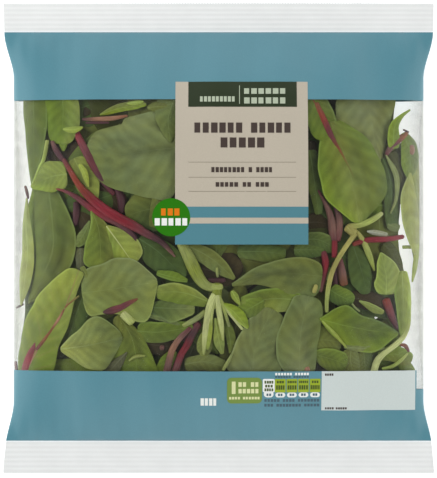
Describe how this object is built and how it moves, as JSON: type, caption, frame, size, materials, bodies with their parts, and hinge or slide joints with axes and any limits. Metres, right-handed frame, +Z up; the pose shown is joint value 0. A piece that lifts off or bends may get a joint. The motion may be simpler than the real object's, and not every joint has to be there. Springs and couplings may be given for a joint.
{
  "type": "bag of salad leaves",
  "caption": "Clear sealed pillow bag of mixed baby salad leaves with printed bands and a label, lying on its back with the front up.",
  "frame": {"origin": "middle of the underside: centre of the bounding box across X and Y, at the lowest level of the bag", "axes": "+Z up, out of the printed front; +Y along the length towards the top seal of the print; +X across the width, to the right as the front is read"},
  "size_m": [0.2476, 0.2706, 0.0514],
  "materials": {
    "clear_film": "clear oriented polypropylene film over mixed green leaves",
    "printed_film": "film printed with opaque blue ink",
    "seal_film": "white-backed film, heat sealed with crimp ribs",
    "label_print": "matt ink printed on film",
    "leaf": "fresh baby leaf, waxy and softly veined",
    "red_stem": "fresh red chard stem",
    "pale_stem": "fresh pale green leaf stem"
  },
  "bodies": {
    "root": {"salad_bag": "clear_film"}
  },
  "joints": []
}
